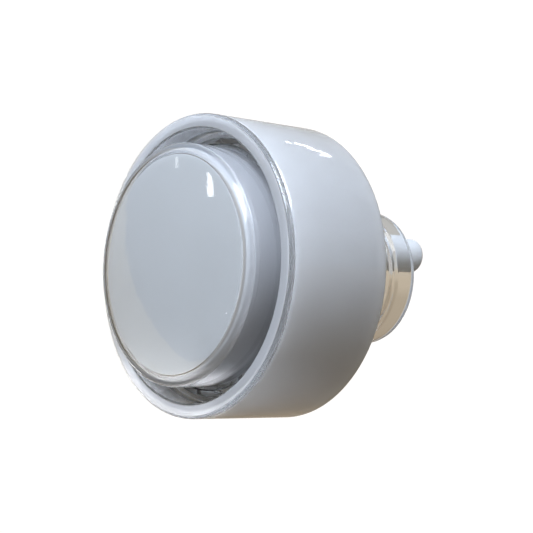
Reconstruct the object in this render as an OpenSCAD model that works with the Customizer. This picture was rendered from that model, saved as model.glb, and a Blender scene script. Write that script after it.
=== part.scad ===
// Illuminated arcade push button, 60 mm, for a 28 mm panel hole.
// Z points out of the panel, z = 0 is the panel's front face, and the neck reaches down through the panel.

/* [Body] */
// Diameter of the bezel rim and of the sleeve's front edge
bezel_d = 60; // [58:0.5:80]
// Height of the body from the panel to the front of the bezel
body_h = 25; // [24:0.5:36]
// Thickness of the clear rim that stands in front of the sleeve
rim_t = 1.2; // [0.9:0.1:2.5]
// Width of the rounding on the rim's outer edge
rim_edge = 0.5; // [0.2:0.1:0.8]
// Rounding of the rim's inner edge, where the recess begins
rim_inner_edge = 0.5; // [0.2:0.1:0.8]
// Wall of the clear barrel round the recess
barrel_wall = 1.35; // [1:0.05:2.5]
// Depth of the ring-shaped recess round the plunger
recess_depth = 5; // [3.5:0.5:7]
// Width of the recess, from the plunger to the barrel wall
recess_w = 3.15; // [2.4:0.05:5]
// Thickness of the shelf at the bottom of the recess
shelf_t = 1.6; // [1:0.1:2.5]
// Wall of the tube that guides the plunger
guide_wall = 1.4; // [1:0.1:2]
// Thickness of the inner floor that carries the spring
floor_t = 1.8; // [1.2:0.1:3]
// Thickness of the ribs under the floor
rib_t = 1.2; // [0.8:0.1:2]
// Number of ribs under each third of the floor
ribs_per_hook = 2; // [1:1:2]

/* [Neck] */
// Outer diameter of the neck, which fits the panel hole
neck_d = 28; // [26:0.5:30]
// Wall of the neck
neck_wall = 2; // [1.6:0.1:2.4]
// Length of the neck behind the panel plane
neck_len = 23.2; // [20:0.1:40]
// Chamfer at the neck's open end
neck_chamfer = 0.6; // [0.3:0.1:1.2]
// Wall of the collar at the root of the neck, which centres the sleeve
collar_wall = 1; // [0.8:0.1:2]
// Width of the two keys that stop the sleeve turning
key_w = 3; // [2:0.5:6]
// Height of the keys above the collar
key_h = 1.2; // [0.8:0.1:2]

/* [Sleeve] */
// Wall of the white sleeve at its front edge
sleeve_wall = 1.5; // [1.2:0.1:3]
// Thickness of the sleeve's back plate
plate_t = 2; // [1.5:0.1:3]
// Amount by which the sleeve's radius is smaller at the back
sleeve_draft = 0.3; // [0:0.1:0.5]
// Rounding of the sleeve's back edge
sleeve_edge = 0.6; // [0.3:0.1:1]
// Clearance between mouldings that are fitted together
fit_gap = 0.15; // [0.1:0.05:0.3]

/* [Plunger] */
// Height of the plunger's edge above the bezel
plunger_rise = 5; // [4.5:0.5:10]
// Travel of the plunger
travel = 4; // [2:0.5:4.5]
// Clearance between the plunger and its guide tube
guide_gap = 0.3; // [0.2:0.05:0.5]
// Thickness of the clear cap's face
cap_face = 1.3; // [1:0.1:2]
// Wall of the clear cap's skirt
cap_wall = 1.4; // [1:0.1:2]
// Rounding of the clear cap's front edge
cap_round = 1.8; // [1:0.1:2.5]
// Height of the slight crown on the cap's face
cap_crown = 0.25; // [0:0.05:1]
// Thickness of the white diffuser disc
disc_t = 1.3; // [0.8:0.1:2]
// Gap between the disc's edge and the inside of the cap
disc_gap = 0.8; // [0.3:0.1:1.2]

/* [Carrier] */
// Thickness of the carrier's plate
carrier_t = 1.5; // [1.2:0.1:2]
// Wall of the carrier's upright skirt
skirt_wall = 1.4; // [1:0.1:2]
// Number of snap hooks that keep the plunger in
hooks = 3; // [2:1:4]
// Width of each hook
hook_w = 8; // [5:0.5:9]
// Thickness of each hook
hook_t = 1.5; // [1.2:0.1:1.8]
// Reach of the barb past the hook's outer face
barb_reach = 1; // [0.8:0.1:1.3]
// Height of the barb
barb_h = 1.6; // [1.2:0.1:2.2]
// Clearance of a hook in its slot, and of the barb under the floor
hook_gap = 0.15; // [0.1:0.05:0.3]
// Free height left under the hooks when the plunger is pressed
hook_room = 1.45; // [0.5:0.05:3]

/* [Leg] */
// Diameter of the leg that works the switch
leg_d = 7.4; // [5:0.2:8]
// Length of the leg beyond the neck's open end
leg_reach = 13.3; // [6:0.1:20]
// Distance of the leg's axis from the button's axis
leg_offset = 5.4; // [5:0.1:6]
// Rounding of the leg's tip
leg_round = 1.4; // [0.5:0.1:2]
// Thickness of the leg's flange
flange_t = 1.5; // [1:0.1:2]
// Distance between the two screws of the leg's flange
screw_pitch = 12.4; // [12:0.1:14]
// Diameter of the screws' shanks
screw_d = 1.8; // [1.4:0.1:2]
// Diameter of the screws' heads
screw_head_d = 3.2; // [2.6:0.1:3.6]
// Height of the screws' heads
screw_head_h = 1.1; // [0.8:0.1:1.4]

/* [Spring] */
// Wire diameter of the return spring
wire_d = 0.8; // [0.6:0.05:1]
// Number of coils of the return spring
coils = 3.5; // [3:0.5:5]
// Height that the spring keeps in reserve when the plunger is pressed
spring_reserve = 0.4; // [0.2:0.1:1]
// Thickness of the washer under the spring
washer_t = 0.5; // [0.3:0.1:1]
// Radial play between the spring and its locating rings
spring_play = 0.4; // [0.2:0.1:0.8]
// Wall of the locating rings
locator_wall = 0.8; // [0.6:0.1:1.2]
// Height of the locating rings
locator_h = 1.4; // [0.8:0.1:1.6]
// Distance from the neck's bore to the locating rings
locator_inset = 1.4; // [0.8:0.1:2]

/* [Lamp] */
// Diameter of the lamp
lamp_d = 9.8; // [9:0.1:10]
// Distance of the lamp's axis from the button's axis
lamp_offset = 4.6; // [4.4:0.1:5.4]
// Height of the ledge in the neck that stops the lamp holder
ledge_z = 4; // [2:0.5:5]
// Thickness of that ledge
ledge_t = 1.5; // [1:0.1:2]
// Reach of the ledge into the neck's bore
ledge_reach = 1; // [0.6:0.1:1.4]
// Thickness of the lamp holder's disc
holder_t = 2.4; // [1.6:0.1:3]
// Length of the lamp holder's outer skirt
holder_skirt = 10; // [6:0.5:12]
// Wall of the holder's skirt and of its socket
holder_wall = 1.2; // [1:0.1:1.6]
// Height of the lamp's base above its seat
lamp_base_h = 9; // [6:0.5:10]
// Height of the seat below the ledge
seat_drop = 5; // [4:0.5:6]
// Length, width and thickness of the lamp's wedge
wedge_len = 5.2; // [4:0.1:6]
// Width of the wedge
wedge_w = 8.2; // [6:0.1:8.4]
// Thickness of the wedge
wedge_t = 2.2; // [1.6:0.1:2.6]
// Diameter of the lamp's lead wires
lead_d = 0.4; // [0.3:0.05:0.6]
// Thickness of the contact strips
contact_t = 0.5; // [0.4:0.05:0.8]
// Width of the contacts' tabs
tab_w = 4.8; // [2.8:0.1:6.3]
// Length of the tabs below the holder
tab_len = 7; // [5:0.5:8]
// Thickness of the holder's socket floor
socket_floor = 1.2; // [1:0.1:2]
// Wall of the lamp's clear lens
lens_wall = 0.5; // [0.4:0.1:0.8]
// Height of the straight part of the lens
lens_h = 1.6; // [1:0.1:3]
// Thickness of the lamp's circuit board
board_t = 0.8; // [0.6:0.1:1.2]
// Number of light chips on the board
chips = 3; // [2:1:4]

/* [Hidden] */
$fn = 96;
eps = 0.01;
steps = 8;

// Radii of the body, from the outside inwards
bezel_r = bezel_d / 2;
barrel_r = bezel_r - sleeve_wall - fit_gap;
recess_r = barrel_r - barrel_wall;
plunger_r = recess_r - recess_w;
guide_r = plunger_r + guide_gap;
guide_out_r = guide_r + guide_wall;
cap_in_r = plunger_r - cap_wall;
disc_r = cap_in_r - disc_gap;
carrier_r = cap_in_r - fit_gap;

// Radii of the neck and of what sits round its bore
neck_r = neck_d / 2;
bore_r = neck_r - neck_wall;
ledge_r = bore_r - ledge_reach;
collar_r = neck_r + collar_wall;
locator_in_r = bore_r + locator_inset;
locator_out_r = locator_in_r + locator_wall;
spring_in_r = locator_out_r + spring_play;
spring_r = spring_in_r + wire_d / 2;
washer_r = spring_r + wire_d;
opening_r = bore_r - ledge_reach - fit_gap;

// The hooks with their barbs stand midway between the washer's edge and the carrier's edge
hook_in_r = (washer_r + carrier_r - hook_t - barb_reach) / 2;
hook_out_r = hook_in_r + hook_t;

// Heights, from the panel to the front
barb_z = plate_t + hook_room + travel;
floor_z = barb_z + barb_h + hook_gap;
floor_top = floor_z + floor_t;
spring_z = floor_top + washer_t;
spring_h = (coils + 1) * wire_d + travel + spring_reserve;
carrier_z = spring_z + spring_h;
carrier_top = carrier_z + carrier_t;
shelf_z = body_h - recess_depth;
rim_z = body_h - rim_t;
cap_z = floor_top + travel + fit_gap * 3;
cap_top = body_h + plunger_rise;
disc_top = cap_top - cap_face;
disc_z = disc_top - disc_t;

// Lamp and leg
leg_r = leg_d / 2;
leg_tip = -neck_len - leg_reach;
holder_r = bore_r - fit_gap;
holder_z = ledge_z - holder_t;
seat_z = ledge_z - seat_drop;
socket_r = lamp_d / 2 + fit_gap;
socket_z = seat_z - wedge_len - fit_gap - socket_floor;
lamp_top = seat_z + lamp_base_h;
wedge_z = seat_z - wedge_len;
contact_y = wedge_t / 2 + lead_d;
bridge_w = leg_d + 2.2;

// Points of a quarter ellipse about c, from angle a0 to a1
function bend(c, rx, rz, a0, a1) =
    [for (i = [0:steps]) let (a = a0 + (a1 - a0) * i / steps) [c[0] + rx * cos(a), c[1] + rz * sin(a)]];

// A ring between two radii and two heights
module ring(r_in, r_out, z0, z1) {
    translate([0, 0, z0]) difference() {
        cylinder(r = r_out, h = z1 - z0);
        translate([0, 0, -eps]) cylinder(r = r_in, h = z1 - z0 + 2 * eps);
    }
}

// A sector of a ring, centred on the X axis and w wide
module ring_strip(r_in, r_out, z0, z1, w) {
    intersection() {
        ring(r_in, r_out, z0, z1);
        translate([0, -w / 2, z0 - 1]) cube([r_out + 1, w, z1 - z0 + 2]);
    }
}

// Copies children to each snap hook, the first one beside the leg
module at_hooks() {
    for (i = [0:hooks - 1]) rotate([0, 0, 90 + i * 360 / hooks]) children();
}

// Moves children to the lamp's axis
module at_lamp() {
    translate([0, -lamp_offset, 0]) children();
}

// Clear one-piece housing: bezel rim, barrel, recess shelf, guide tube, floor, collar and neck
module housing_body() {
    rotate_extrude() polygon(concat(
        [[bore_r, -neck_len], [neck_r - neck_chamfer, -neck_len], [neck_r, -neck_len + neck_chamfer],
            [neck_r, 0], [collar_r, 0], [collar_r, floor_z], [guide_out_r, floor_z],
            [guide_out_r, shelf_z - shelf_t], [recess_r, shelf_z - shelf_t],
            [recess_r, plate_t + fit_gap], [barrel_r, plate_t + fit_gap], [barrel_r, rim_z],
            [bezel_r, rim_z]],
        bend([bezel_r - rim_edge, rim_z + eps * 10], rim_edge, rim_t - eps * 10, 0, 90),
        bend([recess_r + rim_inner_edge, body_h - rim_inner_edge], rim_inner_edge, rim_inner_edge, 90, 180),
        [[recess_r, shelf_z], [guide_r + rim_inner_edge, shelf_z], [guide_r, shelf_z - rim_inner_edge],
            [guide_r, floor_top], [locator_out_r, floor_top], [locator_out_r, floor_top + locator_h],
            [locator_in_r, floor_top + locator_h], [locator_in_r, floor_top], [bore_r, floor_top],
            [bore_r, ledge_z + ledge_t], [ledge_r, ledge_z + ledge_t], [ledge_r, ledge_z],
            [bore_r, ledge_z]]
    ));
}

module clear_housing() {
    color([0.84, 0.88, 0.92, 0.45]) {
        difference() {
            housing_body();
            at_hooks() ring_strip(hook_in_r - hook_gap - barb_reach, hook_out_r + hook_gap,
                floor_z - 1, floor_top + 1, hook_w + 4 * hook_gap);
        }
        at_hooks() for (i = [1:ribs_per_hook]) rotate([0, 0, 360 / hooks * i / (ribs_per_hook + 1)])
            translate([collar_r - eps, -rib_t / 2, plate_t + 1])
                cube([(recess_r + barrel_r) / 2 - collar_r, rib_t, floor_z - plate_t - 1 + eps]);
        for (side = [0, 180]) rotate([0, 0, side])
            translate([collar_r - collar_wall / 2, -key_w / 2, fit_gap])
                cube([collar_wall / 2 + key_h, key_w, plate_t + 1]);
    }
}

// White sleeve with a back plate that clamps against the panel
module outer_sleeve() {
    color("white") difference() {
        rotate_extrude() polygon(concat(
            [[collar_r + fit_gap, 0]],
            bend([bezel_r - sleeve_draft - sleeve_edge, sleeve_edge], sleeve_edge, sleeve_edge, -90, 0),
            [[bezel_r, rim_z], [barrel_r + fit_gap, rim_z], [barrel_r + fit_gap, plate_t],
                [collar_r + fit_gap, plate_t]]
        ));
        for (side = [0, 180]) rotate([0, 0, side])
            translate([collar_r - 1, -key_w / 2 - fit_gap, -1])
                cube([1 + key_h + fit_gap, key_w + 2 * fit_gap, plate_t + 2]);
    }
}

// White holder that is pushed up the neck against the ledge, with the lamp's socket and the leg's hole
module lamp_holder() {
    color([0.93, 0.93, 0.9]) difference() {
        union() {
            translate([0, 0, holder_z]) cylinder(r = holder_r, h = holder_t);
            ring(holder_r - holder_wall, holder_r, ledge_z - holder_skirt, holder_z + eps);
            at_lamp() translate([0, 0, socket_z])
                cylinder(r = socket_r + holder_wall, h = holder_z - socket_z + eps);
        }
        translate([0, leg_offset, socket_z - 1]) cylinder(r = leg_r + 2 * fit_gap, h = ledge_z - socket_z + 2);
        at_lamp() {
            translate([0, 0, seat_z]) cylinder(r = socket_r, h = ledge_z - seat_z + 1);
            translate([-wedge_w / 2 - fit_gap, -contact_y - contact_t - fit_gap, socket_z + socket_floor])
                cube([wedge_w + 2 * fit_gap, 2 * (contact_y + contact_t + fit_gap), wedge_len + 1]);
            for (side = [-1, 1]) translate([-tab_w / 2 - fit_gap,
                    side * (contact_y + contact_t / 2) - contact_t / 2 - fit_gap, socket_z - 1])
                cube([tab_w + 2 * fit_gap, contact_t + 2 * fit_gap, socket_floor + 2]);
        }
    }
}

// A brass contact: a strip beside the wedge, shoulders on the socket's floor, and a tab below
module contact(side) {
    at_lamp() color([0.85, 0.7, 0.35])
        translate([0, side * (contact_y + contact_t / 2), 0]) rotate([90, 0, 0])
            linear_extrude(contact_t, center = true) difference() {
                polygon([[-tab_w / 2, socket_z - tab_len + 1], [-tab_w / 2 + 1, socket_z - tab_len],
                    [tab_w / 2 - 1, socket_z - tab_len], [tab_w / 2, socket_z - tab_len + 1],
                    [tab_w / 2, socket_z + socket_floor], [wedge_w / 2, socket_z + socket_floor],
                    [wedge_w / 2, seat_z - 1], [-wedge_w / 2, seat_z - 1],
                    [-wedge_w / 2, socket_z + socket_floor], [-tab_w / 2, socket_z + socket_floor]]);
                translate([0, socket_z - tab_len / 2]) circle(r = tab_w / 8);
            }
}

module contact_front() {
    contact(1);
}

module contact_rear() {
    contact(-1);
}

// Wedge base of the lamp
module lamp_base() {
    at_lamp() color("white") {
        translate([0, 0, seat_z]) cylinder(r = lamp_d / 2, h = lamp_base_h);
        translate([-wedge_w / 2, -wedge_t / 2, wedge_z]) cube([wedge_w, wedge_t, wedge_len + 1]);
    }
}

// The lamp's two lead wires, one down each face of the wedge
module lamp_leads() {
    at_lamp() color("silver") for (side = [-1, 1])
        translate([side * wedge_w / 4, side * (wedge_t + lead_d) / 2, wedge_z + 1])
            cylinder(r = lead_d / 2, h = wedge_len - 1 - eps, $fn = 24);
}

// Round circuit board on the lamp's base
module lamp_board() {
    at_lamp() color([0.9, 0.93, 0.9]) translate([0, 0, lamp_top])
        cylinder(r = lamp_d / 2 - lens_wall - fit_gap, h = board_t);
}

// Light chips on the board
module light_chips() {
    at_lamp() color([0.95, 0.85, 0.35]) for (i = [0:chips - 1]) rotate([0, 0, i * 360 / chips])
        translate([lamp_d / 4 - 1, -0.8, lamp_top + board_t]) cube([2, 1.6, 0.7]);
}

// Small resistor in the middle of the board
module lamp_resistor() {
    at_lamp() color([0.12, 0.12, 0.13]) translate([-0.6, -0.4, lamp_top + board_t]) cube([1.2, 0.8, 0.45]);
}

// Clear domed lens over the board
module lamp_lens() {
    at_lamp() color([0.9, 0.95, 1, 0.5]) translate([0, 0, lamp_top]) rotate_extrude() polygon(concat(
        [[lamp_d / 2, 0]],
        bend([0, lens_h], lamp_d / 2, lamp_d / 2, 0, 90),
        bend([0, lens_h], lamp_d / 2 - lens_wall, lamp_d / 2 - lens_wall, 90, 0),
        [[lamp_d / 2 - lens_wall, 0]]
    ));
}

// Steel washer that the spring stands on
module spring_washer() {
    color("silver") ring(locator_out_r + fit_gap, washer_r, floor_top, floor_top + washer_t);
}

// Return spring: one round wire swept along a helix whose end coils lie flat
turn_steps = 30;
wire_sides = 10;
function rise(u) = u < 0 ? 0 : u > 1 ? 1 : u * u * (3 - 2 * u);
function coil_z(t) = spring_z + wire_d / 2 + (spring_h - wire_d) * rise((t - 0.25) / (coils - 0.5));
function coil_point(t, k) = let (a = 360 * t, b = 360 * k / wire_sides, r = spring_r + wire_d / 2 * cos(b))
    [r * cos(a), r * sin(a), coil_z(t) + wire_d / 2 * sin(b)];

module return_spring() {
    rings = round(coils * turn_steps);
    last = rings * wire_sides;
    points = [for (i = [0:rings], k = [0:wire_sides - 1]) coil_point(coils * i / rings, k)];
    sides = [for (i = [0:rings - 1], k = [0:wire_sides - 1]) let (j = (k + 1) % wire_sides, n = i * wire_sides)
        [n + k, n + wire_sides + k, n + wire_sides + j, n + j]];
    ends = [[for (k = [0:wire_sides - 1]) k], [for (k = [wire_sides - 1:-1:0]) last + k]];
    color("silver") polyhedron(points, concat(sides, ends), convexity = 10);
}

// Carrier of the plunger: plate, skirt under the disc, bridge for the leg and snap hooks
module plunger_carrier() {
    color([0.62, 0.63, 0.66]) difference() {
        union() {
            ring(opening_r, carrier_r, carrier_z, carrier_top);
            ring(carrier_r - skirt_wall, carrier_r, carrier_z + eps, disc_z);
            ring(locator_in_r, locator_out_r, carrier_z - locator_h, carrier_z + eps);
            intersection() {
                translate([0, 0, carrier_z]) cylinder(r = opening_r + 1, h = carrier_t);
                translate([-opening_r - 1, leg_offset - bridge_w / 2, carrier_z])
                    cube([2 * opening_r + 2, bridge_w, carrier_t]);
            }
            at_hooks() {
                ring_strip(hook_in_r, hook_out_r, barb_z, carrier_z + eps, hook_w);
                ring_strip(hook_in_r, hook_out_r + barb_reach, barb_z, barb_z + barb_h, hook_w);
            }
        }
        translate([0, leg_offset, carrier_z - 1]) cylinder(r = leg_r + fit_gap, h = carrier_t + 2);
        at_screws() translate([0, 0, carrier_z - 1]) cylinder(r = screw_d / 2 + eps, h = carrier_t + 2);
    }
}

// Moves children to the two screws of the leg's flange
module at_screws() {
    for (side = [-1, 1]) translate([side * screw_pitch / 2, leg_offset, 0]) children();
}

// White leg that reaches through the neck to the switch, with a flange on the carrier's bridge
module actuator_leg() {
    color("white") {
        translate([0, leg_offset, 0]) rotate_extrude() polygon(concat(
            [[0, leg_tip]],
            bend([leg_r - leg_round, leg_tip + leg_round], leg_round, leg_round, -90, 0),
            [[leg_r, carrier_top + eps], [0, carrier_top + eps]]
        ));
        translate([0, 0, carrier_top]) linear_extrude(flange_t) difference() {
            union() {
                translate([0, leg_offset]) circle(r = leg_r + 0.6);
                translate([-screw_pitch / 2, leg_offset - screw_head_d / 2])
                    square([screw_pitch, screw_head_d]);
                at_screws() circle(r = screw_head_d / 2);
            }
            at_screws() circle(r = screw_d / 2 + fit_gap);
        }
    }
}

// The two screws that hold the leg's flange to the bridge
module leg_screws() {
    color("silver") at_screws() difference() {
        union() {
            translate([0, 0, carrier_z]) cylinder(r = screw_d / 2, h = carrier_t + flange_t + eps, $fn = 32);
            translate([0, 0, carrier_top + flange_t]) cylinder(r = screw_head_d / 2, h = screw_head_h);
        }
        for (turn = [0, 90]) rotate([0, 0, turn])
            translate([-screw_head_d / 3, -0.2, carrier_top + flange_t + screw_head_h / 2])
                cube([screw_head_d * 2 / 3, 0.4, screw_head_h]);
    }
}

// White disc that spreads the light under the clear cap
module diffuser_disc() {
    color([0.95, 0.96, 0.98]) translate([0, 0, disc_z]) cylinder(r = disc_r, h = disc_t);
}

// Clear cap with a slightly crowned face and a skirt that runs in the guide tube
module plunger_cap() {
    face_r = plunger_r - cap_round;
    inner_round = 0.6;
    color([0.86, 0.9, 0.95, 0.45]) rotate_extrude() polygon(concat(
        [[cap_in_r, cap_z], [plunger_r, cap_z]],
        bend([face_r, cap_top - cap_round], cap_round, cap_round, 0, 90),
        [for (i = [1:steps]) let (u = 1 - i / steps) [face_r * u, cap_top + cap_crown * (1 - u * u)]],
        [[0, disc_top]],
        bend([cap_in_r - inner_round, disc_top - inner_round], inner_round, inner_round, 90, 0)
    ));
}

clear_housing();
outer_sleeve();
lamp_holder();
contact_front();
contact_rear();
lamp_base();
lamp_leads();
lamp_board();
light_chips();
lamp_resistor();
lamp_lens();
spring_washer();
return_spring();
plunger_carrier();
actuator_leg();
leg_screws();
diffuser_disc();
plunger_cap();
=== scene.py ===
import math

import bmesh
import bpy
from mathutils import Matrix, Vector


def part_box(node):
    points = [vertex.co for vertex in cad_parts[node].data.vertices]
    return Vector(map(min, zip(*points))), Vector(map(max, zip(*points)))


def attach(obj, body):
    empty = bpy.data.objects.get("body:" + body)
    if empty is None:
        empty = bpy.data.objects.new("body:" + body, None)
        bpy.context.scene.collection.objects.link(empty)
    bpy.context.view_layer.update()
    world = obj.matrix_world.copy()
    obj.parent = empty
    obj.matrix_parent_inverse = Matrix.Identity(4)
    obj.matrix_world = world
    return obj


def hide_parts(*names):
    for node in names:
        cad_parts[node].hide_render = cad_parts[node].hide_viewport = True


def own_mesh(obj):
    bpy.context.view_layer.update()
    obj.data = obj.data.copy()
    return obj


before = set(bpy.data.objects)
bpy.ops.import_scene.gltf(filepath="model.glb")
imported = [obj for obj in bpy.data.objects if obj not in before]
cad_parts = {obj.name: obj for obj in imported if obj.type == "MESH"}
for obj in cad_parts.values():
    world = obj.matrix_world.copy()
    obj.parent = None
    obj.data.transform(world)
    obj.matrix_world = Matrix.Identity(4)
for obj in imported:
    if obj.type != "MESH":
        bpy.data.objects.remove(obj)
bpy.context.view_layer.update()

# Lengths below are in millimetres, and MM turns them into the scene's metres
MM = 0.001
# Sides of a turned piece: the large ones, the middle ones and the small ones
AROUND = 192
AROUND_MIDDLE = 96
AROUND_SMALL = 32
SMOOTH_ANGLE = math.radians(28)
COIL_SMOOTH_ANGLE = math.radians(40)


# Sizes read from the frame
def top(node):
    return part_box(node)[1].z / MM


def bottom(node):
    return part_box(node)[0].z / MM


def radius(node):
    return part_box(node)[1].x / MM


def middle_y(node):
    return (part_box(node)[0].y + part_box(node)[1].y) / 2 / MM


BEZEL_R = radius("clear_housing")
BEZEL_TOP = top("clear_housing")
NECK_END = bottom("clear_housing")
RIM_Z = top("outer_sleeve")
CAP_R = radius("plunger_cap")
CAP_TOP = top("plunger_cap")
CAP_LOW = bottom("plunger_cap")
DISC_R = radius("diffuser_disc")
DISC_TOP = top("diffuser_disc")
DISC_LOW = bottom("diffuser_disc")
CARRIER_R = radius("plunger_carrier")
HOOK_LOW = bottom("plunger_carrier")
LEG_TIP = bottom("actuator_leg")
FLANGE_TOP = top("actuator_leg")
SCREW_TOP = top("leg_screws")
CARRIER_LOW = bottom("leg_screws")
SPRING_LOW = bottom("return_spring")
SPRING_TOP = top("return_spring")
FLOOR_TOP = bottom("spring_washer")
WASHER_R = radius("spring_washer")
HOLDER_R = radius("lamp_holder")
HOLDER_TOP = top("lamp_holder")
SOCKET_LOW = bottom("lamp_holder")
TAB_LOW = bottom("contact_front")
CONTACT_TOP = top("contact_front")
WEDGE_LOW = bottom("lamp_base")
LENS_R = radius("lamp_lens")
LENS_LOW = bottom("lamp_lens")
LAMP_Y = middle_y("lamp_lens")
LEG_Y = middle_y("leg_screws")

# Sizes of the clear housing and the sleeve that their boxes don't give
SLEEVE_TAPER = 0.3
RIM_ROUND = 0.7
RIM_FOOT = 0.4
NECK_R = 14.0
NECK_CHAMFER = 0.6
BORE_R = 12.0
COLLAR_R = 15.0
BARREL_R = 28.35
RECESS_R = 27.0
GUIDE_R = 24.15
GUIDE_OUT_R = 25.55
SHELF_Z = 20.0
SHELF_T = 1.6
FLOOR_T = 1.8
FLOOR_LOW = FLOOR_TOP - FLOOR_T
PLATE_T = 2.0
FIT_GAP = 0.15
LOCATOR_IN_R = 13.4
LOCATOR_OUT_R = 14.2
LOCATOR_H = 1.4
LEDGE_Z = 4.0
LEDGE_T = 1.5
LEDGE_R = 11.0
THREAD_PITCH = 2.0
THREAD_DEPTH = 0.55
THREAD_END = 4.8
THREAD_START = 0.6
THREAD_STEP = 0.16
# Shares of the thread's pitch that its crest and its two flanks take
THREAD_CREST = 0.3
THREAD_FLANKS = 0.4
KEY_W = 3.0
KEY_H = 1.2
RIB_T = 1.2
RIB_LOW = PLATE_T + 1
RIB_TURNS = (40, 80)
HOOKS = 3
HOOK_TURN = 90
SLOT_IN_R = 16.65
SLOT_OUT_R = 19.45
SLOT_W = 8.6

# Sizes of the plunger's inner pieces
CAP_ROUND = 1.8
CAP_WALL = 1.4
CAP_CROWN = 0.25
CAP_FACE_R = CAP_R - CAP_ROUND
CAP_STEPS = 12
# Width and height of the dark line round the disc's edge: painted shade that stands for the shadowed seam
# between the disc and the cap's wall
DISC_SHADE_W = 0.17
DISC_SHADE_H = 0.4
CARRIER_T = 1.5
CARRIER_TOP = CARRIER_LOW + CARRIER_T
CARRIER_OPENING = 10.85
SKIRT_T = 1.4
HOOK_IN_R = 17.8
HOOK_T = 1.5
HOOK_W = 8.0
BARB = 1.0
BARB_H = 1.6
LEG_R = 3.7
LEG_ROUND = 1.4
BRIDGE_W = 9.6
SCREW_PITCH = 12.4
SCREW_R = 0.9
SCREW_HEAD_R = 1.6
SCREW_HEAD_EDGE = 0.35
CROSS_LONG = 1.05
CROSS_WIDE = 0.2
CROSS_DEEP = 0.55
# Overrun of a cutting piece past what it cuts, and overlap of pieces that are joined
OVERRUN = 1.0
OVERLAP = 0.2

# Sizes of the spring and of the lamp
WIRE_D = 0.8
SPRING_R = 15.0
COILS = 3.5
FLAT_COIL = 0.25
COIL_POINTS = 421
SOCKET_R = 5.05
HOLDER_WALL = 1.2
HOLDER_T = 2.4
HOLDER_SKIRT = 10.0
SEAT_Z = -1.0
WEDGE_W = 8.2
WEDGE_T = 2.2
WEDGE_OVERLAP = 0.5
LEAD_D = 0.4
LEAD_START = 1.0
CONTACT_T = 0.5
TAB_W = 4.8
TAB_CORNER = 1.0
LENS_WALL = 0.5
LENS_STRAIGHT = 1.6
BOARD_T = 0.8
CHIPS = 3
CHIP_W = 2.0
CHIP_D = 1.6
CHIP_H = 0.7
RESISTOR_W = 1.2
RESISTOR_D = 0.8
RESISTOR_H = 0.45


# Outlines, as lists of (radius, height)
def rounded(corners, steps=5):
    """Turns corners (r, z, fillet) of a closed outline into points with round fillets."""
    points = []
    count = len(corners)
    for i, (r, z, fillet) in enumerate(corners):
        here = Vector((r, z))
        if fillet <= 0:
            points.append((r, z))
            continue
        before = Vector(corners[i - 1][:2]) - here
        after = Vector(corners[(i + 1) % count][:2]) - here
        half = before.angle(after) / 2
        reach = fillet / math.tan(half)
        start = here + before.normalized() * reach
        end = here + after.normalized() * reach
        inward = (before.normalized() + after.normalized()).normalized()
        centre = here + inward * fillet / math.sin(half)
        a, b = start - centre, end - centre
        sweep = a.angle_signed(b)
        for k in range(steps + 1):
            turn = Matrix.Rotation(-sweep * k / steps, 2)
            p = centre + turn @ a
            points.append((p.x, p.y))
    return points


def arc(r, z, size_r, size_z, start, end, steps):
    """Points of an elliptic arc about (r, z), between two angles in degrees."""
    angles = [math.radians(start + (end - start) * k / steps) for k in range(steps + 1)]
    return [(r + size_r * math.cos(a), z + size_z * math.sin(a)) for a in angles]


def divided(points, longest):
    """Adds points to an open line so that no stretch is longer than longest."""
    out = [points[0]]
    for a, b in zip(points, points[1:]):
        n = max(1, math.ceil(math.dist(a, b) / longest))
        out += [(a[0] + (b[0] - a[0]) * k / n, a[1] + (b[1] - a[1]) * k / n) for k in range(1, n + 1)]
    return out


# Mesh helpers
def made(name, bm):
    mesh = bpy.data.meshes.new(name)
    bm.to_mesh(mesh)
    bm.free()
    obj = bpy.data.objects.new(name, mesh)
    bpy.context.scene.collection.objects.link(obj)
    return obj


def lathe(name, outline, centre=(0, 0), around=AROUND, shape=None):
    """Turns a closed outline round an upright axis; shape(r, z, angle) may change a point's radius."""
    bm = bmesh.new()
    rings = []
    for r, z in outline:
        if r < 1e-4:
            rings.append([bm.verts.new((centre[0] * MM, centre[1] * MM, z * MM))])
            continue
        ring = []
        for k in range(around):
            a = 2 * math.pi * k / around
            rr = shape(r, z, a) if shape else r
            x, y = centre[0] + rr * math.cos(a), centre[1] + rr * math.sin(a)
            ring.append(bm.verts.new((x * MM, y * MM, z * MM)))
        rings.append(ring)
    for i, low in enumerate(rings):
        high = rings[(i + 1) % len(rings)]
        if len(low) == 1 and len(high) == 1:
            continue
        for k in range(around):
            j = (k + 1) % around
            corner = [low[k % len(low)], low[j % len(low)], high[j % len(high)], high[k % len(high)]]
            bm.faces.new(list(dict.fromkeys(corner)))
    bmesh.ops.recalc_face_normals(bm, faces=bm.faces)
    return made(name, bm)


def block(low, high, bevel=0.0, turn=0.0):
    """A box between two corners with rounded edges, turned about Z."""
    bm = bmesh.new()
    bmesh.ops.create_cube(bm, size=1)
    size = Vector(high) - Vector(low)
    middle = (Vector(high) + Vector(low)) / 2
    place = Matrix.Rotation(turn, 4, "Z") @ Matrix.Translation(middle) @ Matrix.Diagonal((*size, 1))
    bmesh.ops.transform(bm, matrix=place, verts=bm.verts)
    if bevel > 0:
        bmesh.ops.bevel(bm, geom=bm.edges, offset=bevel, segments=3, profile=0.5, affect="EDGES")
    bmesh.ops.transform(bm, matrix=Matrix.Scale(MM, 4), verts=bm.verts)
    return made("block", bm)


def pillar(r, low, high, centre=(0, 0), around=64):
    """A plain upright cylinder: a cutter or an addition for combine()."""
    return lathe("pillar", [(0, low), (r, low), (r, high), (0, high)], centre, around)


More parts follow.
